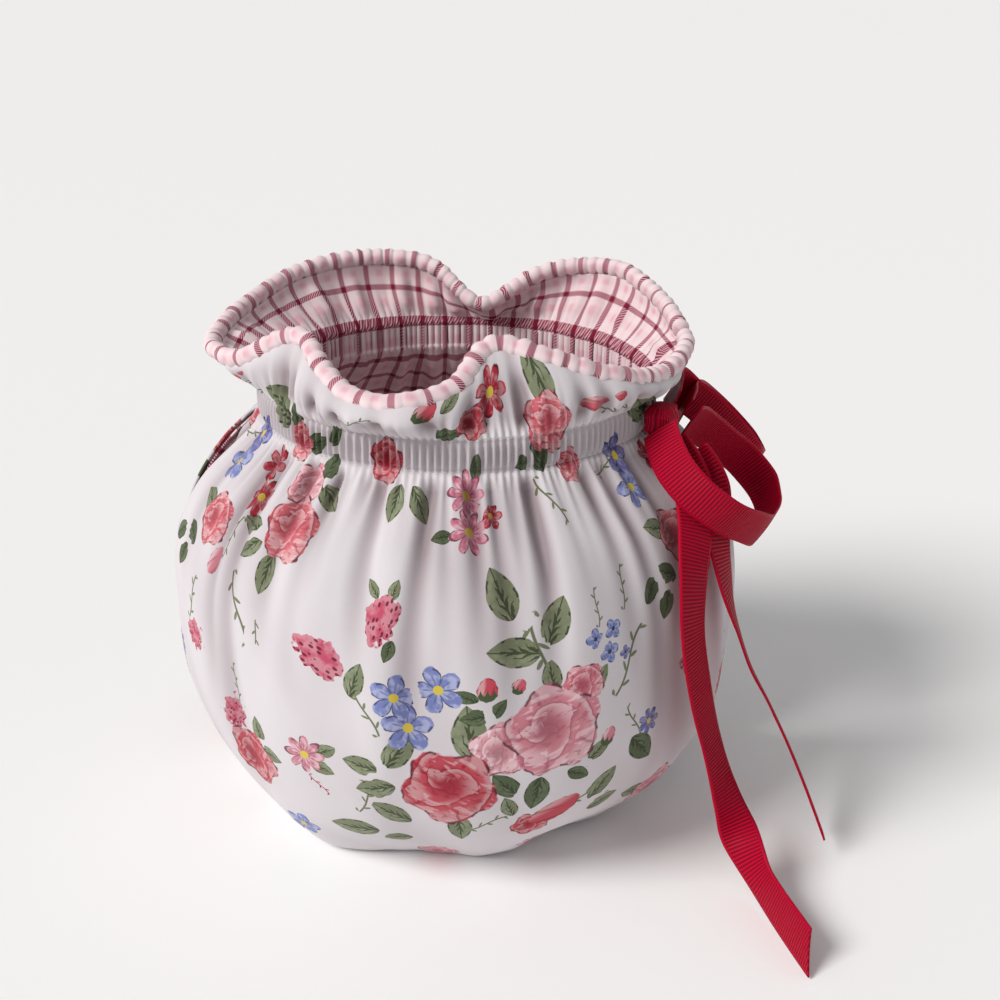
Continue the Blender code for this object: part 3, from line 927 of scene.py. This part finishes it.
@dataclass(frozen=True)
class CosyShape:
    """The cosy's outer face: a round body, an elastic band and a flared frill, with every fold and gather."""

    profile: tuple = (
        # reach, height
        (54.0, 0.0),
        (60.0, 0.0),
        (71.0, 8.5),
        (84.0, 23.0),
        (92.0, 43.0),
        (94.0, 68.0),
        (91.0, 97.0),
        (83.5, 112.0),
        (73.0, 123.0),
        (63.0, 132.0),
    )
    neck_reach: float = 63.0
    neck_depth: float = 0.97
    band_height: float = 10.0
    frill_run: float = 22.0
    seam_gap: float = 0.6
    spout_slit: Slit = Slit(76.0, 132.0, 12.0)
    handle_slit: Slit = Slit(30.0, 132.0, 14.0)
    hem: tuple = (
        # angle, offset of the hem's outline
        (-165.0, 1.0),
        (-145.0, 4.0),
        (-126.0, 10.0),
        (-102.0, 1.0),
        (-76.0, 2.0),
        (-62.0, -5.0),
        (-45.0, 1.0),
        (-20.0, -2.0),
        (12.0, 3.0),
        (45.0, -2.0),
        (75.0, 4.0),
        (105.0, -2.0),
        (140.0, 3.0),
        (170.0, -2.0),
    )
    folds: tuple = (
        # angle, depth, half width and drift of each main fold
        (-150.0, 1.6, 9.0, -5.0),
        (-130.0, 2.2, 8.0, -4.0),
        (-111.0, 3.6, 8.0, -3.0),
        (-95.0, 2.0, 7.5, 0.0),
        (-78.0, 1.8, 8.0, 2.0),
        (-58.0, 2.6, 9.0, 4.0),
        (-42.0, 3.0, 8.0, 4.0),
        (-18.0, 2.0, 9.0, 3.0),
        (22.0, 2.2, 9.0, -2.0),
        (47.0, 3.0, 9.0, -3.0),
        (70.0, 2.0, 8.5, -2.0),
        (93.0, 3.2, 9.0, 1.0),
        (118.0, 2.4, 9.0, 2.0),
        (142.0, 2.8, 9.0, 3.0),
    )
    rim: tuple = (
        # angle, reach, height and bulge of the frill's rim
        (-178.0, 76.0, 148.5, 3.5),
        (-160.0, 70.0, 152.0, 6.0),
        (-145.0, 59.0, 162.0, 5.0),
        (-131.0, 62.0, 157.0, 9.0),
        (-118.0, 66.0, 152.5, 11.0),
        (-100.0, 65.0, 153.0, 11.0),
        (-89.0, 58.0, 155.5, 8.0),
        (-79.0, 49.0, 163.0, 4.0),
        (-64.0, 55.0, 161.0, 6.0),
        (-45.0, 65.0, 154.5, 9.0),
        (-28.0, 70.0, 150.5, 9.0),
        (-10.0, 73.0, 151.5, 7.0),
        (8.0, 72.0, 154.0, 5.0),
        (25.0, 72.5, 158.0, 5.0),
        (43.0, 74.0, 161.0, 5.0),
        (62.0, 65.0, 159.0, 6.0),
        (82.0, 54.0, 151.0, 6.0),
        (97.0, 63.0, 159.5, 4.0),
        (115.0, 71.0, 161.5, 5.0),
        (135.0, 76.0, 159.0, 5.0),
        (155.0, 77.3, 153.0, 5.0),
    )
    pleat: float = 2.3  # pitch of the shirring pleats, along the neck
    pleat_depth: float = 0.8
    short_gathers: Gathers = Gathers(120, (0.2, 1.5), (8.0, 48.0), 1.0, 0.05)
    long_gathers: Gathers = Gathers(36, (0.8, 4.2), (40.0, 110.0), 2.1, 0.036)
    gather_seed: int = 7

    def stations(self) -> tuple[np.ndarray, np.ndarray, np.ndarray, float]:
        """Place, reach and height of the profile's stations, and the body's whole run in millimetres.

        Returns:
            Those four, the places from 0 to 1.
        """
        rows = np.array(self.profile)
        along = np.concatenate([[0], np.cumsum(np.hypot(np.diff(rows[:, 0]), np.diff(rows[:, 1])))])
        return along / along[-1], rows[:, 0], rows[:, 1], float(along[-1])

    def run(self, place: np.ndarray) -> np.ndarray:
        """Distance up the cloth from the hem, in millimetres.

        Args:
            place: places up the cloth.

        Returns:
            Millimetres from the hem.
        """
        body = self.stations()[3]
        above = np.clip(place - 1, 0, 1) * self.band_height + np.clip(place - 2, 0, 1) * self.frill_run
        return np.clip(place, 0, 1) * body + above

    def smooth_face(self, angle: np.ndarray, place: np.ndarray) -> np.ndarray:
        """Points of the face with its main folds only.

        On the body, reach and height follow the profile, less the folds, bell curves in the angle. The
        band is upright. The frill is a parabola from the neck over a bulge to the rim.

        Args:
            angle: angles, in degrees, first index across.
            place: places up the cloth, second index up.

        Returns:
            Points in millimetres.
        """
        along, reaches, heights, _ = self.stations()
        low = np.clip(place, 0, 1)
        reach = smooth_through(low, along, reaches)
        height = np.maximum(smooth_through(low, along, heights), 0)
        reach = reach + round_table(angle, self.hem, 1) * (1 - ease(low / 0.35))
        strength = ease((low - 0.15) / 0.55) * (1 - 0.65 * ease((low - 0.86) / 0.14))
        for centre, depth, half_width, drift in self.folds:
            off = wrapped(angle - centre - drift * (1 - low), 360.0)
            reach = reach - depth * np.exp(-((off / half_width) ** 2)) * strength
        height = height + np.clip(place - 1, 0, 1) * self.band_height
        s = np.clip(place - 2, 0, 1)
        start_height = self.profile[-1][1] + self.band_height
        rim_reach, rim_height, bulge = (round_table(angle, self.rim, k) for k in (1, 2, 3))
        mid_reach = (self.neck_reach + rim_reach) / 2 + bulge
        mid_height = (start_height + rim_height) / 2
        frill_reach = (1 - s) ** 2 * self.neck_reach + 2 * s * (1 - s) * mid_reach + s**2 * rim_reach
        frill_height = (1 - s) ** 2 * start_height + 2 * s * (1 - s) * mid_height + s**2 * rim_height
        neck_folds = reach - self.neck_reach
        reach = np.where(place > 2, frill_reach + neck_folds * (1 - s) ** 2, reach)
        height = np.where(place > 2, frill_height, height)
        depth = 1 - (1 - self.neck_depth) * ease((place - 0.6) / 0.4)
        turn = np.radians(angle)
        return np.stack([reach * np.cos(turn), reach * depth * np.sin(turn), height], -1)

    def gather_depth(self, angle: np.ndarray, place: np.ndarray) -> np.ndarray:
        """Fine relief of the cloth, inwards, in millimetres.

        Shirring pleats are a cosine along the neck whose phase wanders, and die away within a few millimetres
        of the band's stitching. Gathers are bell-shaped valleys that leave the band at random angles, widen
        and fade. The hem has short puckers.

        Args:
            angle: angles, in degrees, first index across.
            place: places up the cloth, second index up.

        Returns:
            The relief at each point.
        """
        rng = np.random.default_rng(self.gather_seed)
        arc = np.radians(angle) * self.neck_reach
        run = self.run(place)
        body = self.stations()[3]
        off_band = np.maximum(np.maximum(body - run, run - body - self.band_height), 0)
        wander = 0.9 * np.sin(arc / 6.1) + 0.6 * np.sin(arc / 2.7 + 1.0) + 0.5 * np.sin(arc / 13.0 + 2.0)
        pleats = np.cos(2 * np.pi * arc / self.pleat + wander)
        on_band = np.clip((run - body) / self.band_height, 0, 1)
        swell = 0.35 + 0.65 * np.sin(np.pi * on_band) ** 0.7
        fade = np.exp(-off_band / 4.5) * (1 + 0.8 * ease(off_band / 1.5))
        total = self.pleat_depth * pleats * swell * fade
        for edge in (0.06, 0.94):
            total = total + 0.35 * np.exp(-(((on_band - edge) / 0.05) ** 2)) * (off_band == 0)
        reach = np.interp(run, self.stations()[0] * body, self.stations()[1])
        at_rim = 1 - 0.7 * ease((place - 2.45) / 0.5)
        for gathers in (self.short_gathers, self.long_gathers):
            spread = 180.0 / gathers.count
            evenly = np.linspace(-180, 180, gathers.count, endpoint=False)
            centres = evenly + rng.uniform(-spread, spread, gathers.count) * 0.9
            depths = rng.uniform(*gathers.depth, gathers.count)
            lengths = rng.uniform(*gathers.length, gathers.count)
            drifts = rng.uniform(-0.07, 0.07, gathers.count)
            half = gathers.half_width + gathers.widening * off_band
            rise = ease(off_band / 6.0) * at_rim
            for centre, depth, length, drift in zip(centres, depths, lengths, drifts):
                shift = np.radians(wrapped(angle - centre, 360.0)) * reach - drift * off_band
                total = total + depth * rise * np.exp(-((shift / half) ** 2) - (off_band / length) ** 2)
        hem_arc = np.radians(angle) * 60
        pucker = np.sin(hem_arc / 1.7 + 1.3 * np.sin(hem_arc / 9)) * (0.55 + 0.45 * np.sin(hem_arc / 14 + 1))
        total = total + 0.5 * pucker * (1 - ease(run / 24)) * ease(run / 5)
        slow = np.sin(np.radians(angle) * 11 + run / 21) * np.sin(run / 17 + np.radians(angle) * 4)
        return total + 0.5 * slow * ease(run / 30) * (1 - ease((run - body + 30) / 25))

    def face(self, angle: np.ndarray, place: np.ndarray, inset: float, relief: float) -> np.ndarray:
        """Points of the cloth's face, in metres: the smooth face moved inwards along its normals.

        Args:
            angle: angles, in degrees, first index across.
            place: places up the cloth, second index up.
            inset: distance inside the outer face.
            relief: share of the fine relief.

        Returns:
            An array of points.
        """
        nudge_angle, nudge_place = 0.5, 0.01
        across = self.smooth_face(angle + nudge_angle, place) - self.smooth_face(angle - nudge_angle, place)
        upper = self.smooth_face(angle, np.minimum(place + nudge_place, 3))
        lower = self.smooth_face(angle, np.maximum(place - nudge_place, 0))
        normal = unit(np.cross(across, upper - lower))
        inward = inset + relief * self.gather_depth(angle, place)
        points = self.smooth_face(angle, place) - normal * inward[..., None]
        points[..., 2] = np.maximum(points[..., 2], 0.0)
        return points * MM

    def slit_half_width(self, place: np.ndarray, slit: Slit) -> np.ndarray:
        """Half the gap of a slit at a place: a power of a sine between the slit's two heights.

        Args:
            place: places up the cloth.
            slit: the slit.

        Returns:
            Half the gap, in millimetres.
        """
        along, _, heights, _ = self.stations()
        low, high = np.interp([slit.low, slit.high], heights[1:], along[1:])
        s = np.clip((place - low) / (high - low), 0, 1)
        return slit.half_width * np.sin(np.pi * s) ** 0.8

    def angles(self, side: Side, place: np.ndarray, columns: int) -> np.ndarray:
        """Angle of each column at each place, drawn back from the slits at the side's two edges.

        Args:
            side: front or back.
            place: places up the cloth.
            columns: cells across.

        Returns:
            Angles in degrees, first index across, second index up.
        """
        _, first, last = side.value
        first_slit, last_slit = self.spout_slit, self.handle_slit
        if side is Side.BACK:
            first_slit, last_slit = last_slit, first_slit
        along, reaches, _, _ = self.stations()
        reach = np.interp(np.clip(place, 0, 1), along, reaches)
        start = first + np.degrees((self.seam_gap / 2 + self.slit_half_width(place, first_slit)) / reach)
        end = last - np.degrees((self.seam_gap / 2 + self.slit_half_width(place, last_slit)) / reach)
        return start + (end - start) * np.linspace(0, 1, columns + 1)[:, None]


@dataclass(frozen=True)
class Zone:
    """A stretch of cloth between two places, with its grid and its width in metres before it was gathered."""

    label: str
    start: float
    end: float
    columns: int
    rows: int
    flat_width: float


@dataclass(frozen=True)
class ClothShell:
    """The cosy's two layers of cloth, each side cut as body, band and frill."""

    shape: CosyShape
    outer_wall: float = 0.9
    lining_inset: float = 1.7
    lining_wall: float = 0.8
    lining_relief: float = 0.9
    zones: tuple = (
        Zone("body", 0.0, 1.0, 500, 92, 0.285),
        Zone("band", 1.0, 2.0, 700, 20, 0.26),
        Zone("frill", 2.0, 3.0, 500, 40, 0.225),
    )
    lining_zones: tuple = (Zone("lining", 0.0, 3.0, 300, 104, 0.27),)

    def sheet(self, side: Side, zone: Zone, name: str, inset: float, relief: float) -> tuple:
        """Make one sheet on its zone's grid.

        Args:
            side: front or back.
            zone: the stretch of cloth and its grid.
            name: the piece's name.
            inset: distance inside the outer face.
            relief: share of the fine relief.

        Returns:
            The piece, and the cloth's u and v of its points.
        """
        label, first, last = side.value
        place = np.linspace(zone.start, zone.end, zone.rows + 1)[None, :]
        angle = self.shape.angles(side, place, zone.columns)
        place = np.broadcast_to(place, angle.shape)
        points = self.shape.face(angle, place, inset, relief)
        u = np.radians(angle - (first + last) / 2) * BELLY_REACH
        v = self.shape.run(place)
        piece = grid_mesh(name, points, np.stack([u, v], -1))
        # Painted shade: how far the colour darkens, from the inward depth of the gathers and pleats, and at
        # least 0.45 over the band for the shade between its pleats
        crease_shade = np.clip(self.shape.gather_depth(angle, place) / 2.6, 0, 1)
        crease_shade = np.maximum(crease_shade, 0.45 * ease((place - 1) / 0.05) * ease((2 - place) / 0.05))
        depths = piece.data.attributes.new("crease_shade", "FLOAT", "POINT").data
        depths.foreach_set("value", crease_shade.astype(np.float32).ravel())
        length = float(self.shape.run(np.array(zone.end)) - self.shape.run(np.array(zone.start))) * MM
        return piece, u, v

    def build(self, printed: bpy.types.Material, check: bpy.types.Material, artwork: Print) -> None:
        """Build both sides of the printed cloth and of the lining.

        Args:
            printed: the printed cotton.
            check: the check cotton.
            artwork: the print's motifs.
        """
        for side in Side:
            label = side.value[0]
            for zone in self.zones:
                piece, u, v = self.sheet(side, zone, f"printed_{zone.label}_{label}", 0.0, 1.0)
                shift = (0.0, 0.0) if side is Side.FRONT else (62.0, 40.0)
                artwork.place_on(piece, u + shift[0], v + shift[1])
                thicken(piece, self.outer_wall)
                dress(piece, printed, f"printed_panel_{label}")
            for zone in self.lining_zones:
                name = f"check_{zone.label}_{label}_cloth"
                piece, _, _ = self.sheet(side, zone, name, self.lining_inset, self.lining_relief)
                thicken(piece, self.lining_wall)
                dress(piece, check, f"check_lining_{label}")


@dataclass(frozen=True)
class RolledEdge:
    """The check cloth rolled over the frill's rim: a soft tube pinched by its overcasting."""

    shape: CosyShape
    radius: float = 2.95
    sink: float = 0.5
    pinch: float = 4.3
    gathered: float = 1.3  # cloth along the roll for each millimetre of it
    sides: int = 20
    steps: int = 1100

    def build(self, check: bpy.types.Material) -> None:
        """Carry a round section along the rim; its radius swells between pinches as the root of a sine.

        Args:
            check: the check cotton.
        """
        open_turn = math.degrees(self.radius / 2 / self.shape.neck_reach)
        angle = np.linspace(open_turn, 360 - open_turn, self.steps + 1)
        top = np.full_like(angle, 3.0)
        rim = self.shape.face(angle, top, 1.4, 0.5) / MM
        rise = self.shape.smooth_face(angle, top) - self.shape.smooth_face(angle, top - 0.25)
        forward = np.gradient(rim, axis=0)
        out = unit(np.cross(forward, rise))
        up = unit(np.cross(out, forward))
        path = rim + up * (self.radius - self.sink)
        along = np.concatenate([[0], np.cumsum(np.linalg.norm(np.diff(path, axis=0), axis=1))])
        wander = 0.8 * np.sin(along / 11.0) + 0.5 * np.sin(along / 4.7)
        puff = np.abs(np.sin(np.pi * along / self.pinch + wander)) ** 0.6
        off_dip = np.abs(wrapped(angle + 104, 360.0))
        softness = 0.3 + 0.7 * ease((off_dip - 14) / 14)
        size = self.radius * (0.98 - 0.24 * (1 - puff) * softness)
        ends = np.minimum(along, along[-1] - along)
        size = size * np.sqrt(np.clip(ends / 1.6, 0.01, 1))
        turn = np.linspace(0, 2 * np.pi, self.sides, endpoint=False)[:, None, None]
        lean = 0.35 * np.sin(2 * np.pi * along / self.pinch + wander)[:, None]
        ring = path + size[:, None] * (0.94 * np.cos(turn) * out + 1.04 * np.sin(turn) * up) + lean * 0.5 * up
        across = 4.4 * np.sin(turn[..., 0])
        uv = np.stack(np.broadcast_arrays(self.gathered * along[None, :], across), -1)
        piece = grid_mesh("rolled_check_edge", ring[:, ::-1] * MM, uv[:, ::-1], closed=True)
        dress(piece, check, "rolled_edge")


# ---------------------------------------------------------------- the ribbon


@dataclass(frozen=True)
class RibbonBow:
    """A bow of grosgrain ribbon at the handle side: two loops, two tails and a knot."""

    width: float = 12.0
    wall: float = 0.6
    step: float = 0.8
    cells: int = 10
    cup: float = 0.35
    knot_place: tuple = (61.5, -31.5, 137.5)
    knot_half: tuple = (4.6, 5.8, 4.8)
    knot_turn: float = -27.0
    loops: dict = field(default_factory=dict)
    tails: dict = field(default_factory=dict)

    def strip(self, name: str, route: tuple, cut: float) -> tuple:
        """Carry the ribbon's width along a route, square to its run and a little cupped.

        Args:
            name: the piece's name.
            route: rows of x, y, z and the direction of the width.
            cut: how far one corner of the end is cut back.

        Returns:
            The piece, the middle line in metres and its length in metres.
        """
        rows = np.array(route)
        places = rows[:, :3]
        along = np.concatenate([[0], np.cumsum(np.linalg.norm(np.diff(places, axis=0), axis=1))])
        count = int(round(along[-1] / self.step))
        side = np.linspace(-0.5, 0.5, self.cells + 1)[:, None]
        s = np.linspace(0, 1, count + 1)[None, :] * (along[-1] - cut * (side + 0.5))
        middle = np.stack([smooth_through(s, along, places[:, k]) for k in range(3)], -1)
        width = np.stack([smooth_through(s, along, rows[:, 3 + k]) for k in range(3)], -1)
        forward = unit(np.gradient(middle, axis=1))
        width = unit(width - forward * np.sum(width * forward, axis=-1, keepdims=True))
        normal = np.cross(width, forward)
        cupped = self.cup * (4 * side**2 - 0.5)[..., None]
        points = middle + (side * self.width)[..., None] * width + cupped * normal
        uv = np.stack(np.broadcast_arrays(side * self.width, s), -1)
        piece = grid_mesh(name, points * MM, uv)
        thicken(piece, self.wall, 0.0)
        line = middle[self.cells // 2] * MM
        length = float(np.linalg.norm(np.diff(line, axis=0), axis=1).sum())
        return piece, line, length

    def knot(self) -> bpy.types.Object:
        """The knot: a squared ball, drawn in by the ribbon's turns as a sine of its height.

        Returns:
            The knot.
        """
        lat = np.linspace(-np.pi / 2 + 0.02, np.pi / 2 - 0.02, 40)[None, :]
        lon = np.linspace(0, 2 * np.pi, 64, endpoint=False)[:, None]
        power = 0.62
        flat = np.sign(np.cos(lon)) * np.abs(np.cos(lon)) ** power
        deep = np.sign(np.sin(lon)) * np.abs(np.sin(lon)) ** power
        ring = np.cos(lat) ** power
        high = np.sign(np.sin(lat)) * np.abs(np.sin(lat)) ** power
        folds = 1 + 0.05 * np.sin(9 * lat + 2 * np.sin(lon)) + 0.03 * np.sin(5 * lon + 3 * lat)
        half = self.knot_half
        x = half[0] * flat * ring * folds
        y = half[1] * deep * ring * folds
        z = half[2] * high * np.ones_like(lon)
        turn = math.radians(self.knot_turn)
        points = np.stack([x * np.cos(turn) - y * np.sin(turn), x * np.sin(turn) + y * np.cos(turn), z], -1)
        points = points + np.array(self.knot_place)
        uv = np.stack(np.broadcast_arrays(half[2] * high, lon * half[1]), -1)
        return grid_mesh("ribbon_knot", points * MM, uv, closed=True)

    def build(self, ribbon: bpy.types.Material) -> None:
        """Args:
            ribbon: the grosgrain.
        """
        dress(self.knot(), ribbon, "bow_knot")
        for name, route in self.loops.items():
            piece, _, length = self.strip(f"{name}_ribbon", route, 0.0)
            dress(piece, ribbon, name)
        for name, (route, cut) in self.tails.items():
            piece, line, length = self.strip(f"{name}_ribbon", route, cut)
            dress(piece, ribbon, name)
            LOG.info("%s is %.0f mm long", name, length / MM)


LOOPS = {
    # x, y, z and the direction of the ribbon's width
    "bow_loop_front": (
        (60.0, -38.5, 137.0, 0.70, -0.35, 0.60),
        (61.0, -43.5, 133.5, 0.73, -0.35, 0.58),
        (63.5, -50.5, 129.0, 0.76, -0.25, 0.60),
        (68.8, -54.8, 123.5, 0.76, -0.17, 0.64),
        (77.2, -55.5, 117.0, 0.70, -0.10, 0.70),
        (88.5, -46.5, 108.5, 0.60, -0.03, 0.80),
        (97.0, -28.0, 100.0, 0.50, 0.00, 0.86),
        (102.0, -11.0, 99.0, 0.50, 0.00, 0.86),
        (101.0, -1.0, 103.5, 0.52, 0.00, 0.85),
        (95.0, 1.0, 110.5, 0.53, 0.00, 0.84),
        (86.0, -5.0, 119.5, 0.54, 0.00, 0.83),
        (77.5, -14.5, 128.5, 0.54, 0.00, 0.83),
        (73.5, -22.0, 133.0, 0.52, 0.00, 0.85),
        (71.0, -27.5, 135.0, 0.52, 0.00, 0.85),
    ),
    "bow_loop_back": (
        (65.5, -24.0, 138.5, 0.42, 0.00, 0.90),
        (68.0, -12.0, 138.5, 0.42, 0.00, 0.90),
        (70.5, 2.0, 137.5, 0.45, 0.00, 0.89),
        (77.0, 8.0, 130.5, 0.50, 0.00, 0.86),
        (86.5, 10.5, 122.0, 0.52, 0.00, 0.85),
        (95.0, 13.5, 112.5, 0.53, 0.00, 0.84),
        (101.0, 18.0, 104.0, 0.55, 0.00, 0.83),
        (104.0, 27.0, 100.0, 0.55, 0.05, 0.83),
        (101.5, 36.0, 103.5, 0.55, 0.08, 0.83),
        (94.0, 38.0, 111.5, 0.55, 0.08, 0.83),
        (86.0, 32.0, 120.0, 0.53, 0.05, 0.84),
        (79.5, 19.0, 127.5, 0.50, 0.00, 0.86),
        (75.0, 4.0, 132.0, 0.46, 0.00, 0.88),
        (72.5, -10.0, 134.0, 0.45, 0.00, 0.89),
        (69.5, -21.5, 135.0, 0.45, 0.00, 0.89),
    ),
}
TAILS = {
    # the route, and how far one corner of the end is cut back
    "ribbon_tail_front": (
        (
            (65.5, -34.5, 131.5, 0.30, -0.55, 0.75),
            (68.0, -39.0, 126.0, 0.50, -0.15, 0.60),
            (70.5, -44.5, 119.5, 0.62, 0.25, 0.30),
            (70.5, -51.0, 112.5, 0.72, 0.50, 0.10),
            (69.5, -60.5, 101.5, 0.70, 0.65, 0.05),
            (69.5, -67.5, 84.5, 0.65, 0.75, 0.00),
            (73.0, -68.5, 65.0, 0.62, 0.78, 0.00),
            (78.0, -68.0, 46.0, 0.53, 0.84, 0.10),
            (83.0, -71.0, 29.5, 0.42, 0.74, 0.53),
            (88.0, -77.0, 16.5, 0.26, 0.41, 0.87),
            (92.5, -86.0, 9.0, 0.20, 0.10, 0.97),
            (96.0, -97.0, 6.8, 0.24, 0.00, 0.97),
            (99.0, -108.5, 6.6, 0.26, 0.00, 0.96),
            (102.0, -120.0, 6.6, 0.26, 0.00, 0.96),
        ),
        7.0,
    ),
    "ribbon_tail_back": (
        (
            (71.5, -31.5, 127.0, 0.40, -0.30, 0.60),
            (75.0, -35.0, 121.5, 0.55, -0.10, 0.55),
            (77.8, -40.5, 114.0, 0.62, 0.50, 0.25),
            (78.8, -46.5, 105.0, 0.58, 0.80, 0.08),
            (81.0, -51.0, 94.0, 0.45, 0.82, -0.15),
            (85.5, -52.0, 79.0, 0.25, 0.85, -0.45),
            (91.0, -51.0, 64.0, 0.22, 0.83, -0.50),
            (99.0, -50.0, 48.5, 0.24, 0.80, -0.55),
            (106.0, -51.5, 34.5, 0.25, 0.78, -0.57),
            (112.5, -55.5, 20.0, 0.25, 0.78, -0.58),
            (118.0, -62.0, 6.5, 0.25, 0.77, -0.59),
        ),
        5.0,
    ),
}


# ---------------------------------------------------------------- the room


@dataclass(frozen=True)
class Studio:
    """A pale floor, one broad soft light and a bright room."""

    camera_place: tuple = (0.0, -0.425, 0.283)
    camera_aim: tuple = (0.0, 0.0, 0.075)
    lens: float = 50.0
    shift: tuple = (0.043, 0.060)
    floor_size: float = 60.0
    floor_colour: str = "#FBFBFB"
    gap: float = 0.0002
    window_place: tuple = (-1.0, -0.5, 1.0)
    window_strength: float = 2.6
    window_softness: float = 26.0
    window_colour: str = "#FFFDFB"
    room: float = 0.38

    def floor(self) -> None:
        """Lay the floor, a hair under the hem."""
        half = self.floor_size / 2
        mesh = bpy.data.meshes.new("floor")
        corners = ((-half, -half), (half, -half), (half, half), (-half, half))
        mesh.from_pydata([(x, y, -self.gap) for x, y in corners], [], [(0, 1, 2, 3)])
        floor = bpy.data.objects.new("floor", mesh)
        bpy.context.scene.collection.objects.link(floor)
        material, tree = new_material("matt_white_paper")
        paper = {"Base Color": linear(self.floor_colour), "Roughness": 0.9}
        add(tree, "OutputMaterial", add(tree, "BsdfPrincipled", named=paper))
        mesh.materials.append(material)

    def light(self) -> None:
        """Hang one far light that faces the cosy; its softness is the angle it spans, in degrees."""
        data = bpy.data.lights.new("window", "SUN")
        data.energy = self.window_strength
        data.angle = math.radians(self.window_softness)
        data.color = linear(self.window_colour)[:3]
        lamp = bpy.data.objects.new("window", data)
        lamp.location = self.window_place
        aim = Vector(self.camera_aim) - Vector(self.window_place)
        lamp.rotation_euler = aim.to_track_quat("-Z", "Y").to_euler()
        bpy.context.scene.collection.objects.link(lamp)

    def build(self) -> None:
        """Build the floor, the light, the room's glow and the camera."""
        scene = bpy.context.scene
        self.floor()
        self.light()
        world = bpy.data.worlds.new("bright_room")
        world.use_nodes = True
        world.node_tree.nodes.clear()
        glow = add(world.node_tree, "Background", linear("#FFFFFF"), self.room)
        add(world.node_tree, "OutputWorld", glow)
        scene.world = world
        scene.view_settings.view_transform = "Standard"
        data = bpy.data.cameras.new("camera")
        data.lens = self.lens
        data.shift_x, data.shift_y = self.shift
        camera = bpy.data.objects.new("camera", data)
        camera.location = self.camera_place
        aim = Vector(self.camera_aim) - Vector(self.camera_place)
        camera.rotation_euler = aim.to_track_quat("-Z", "Y").to_euler()
        scene.collection.objects.link(camera)
        scene.camera = camera


def main() -> None:
    """Build every piece round the frame."""
    logging.basicConfig(level=logging.INFO, format="%(name)s: %(message)s")
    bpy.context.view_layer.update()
    shape = CosyShape()
    printed, check = PrintedCotton().build(), CheckCotton().build()
    ClothShell(shape).build(printed, check, Print())
    RolledEdge(shape).build(check)
    RibbonBow(loops=LOOPS, tails=TAILS).build(GrosgrainRibbon().build())
    Studio().build()


if __name__ == "__main__":
    main()
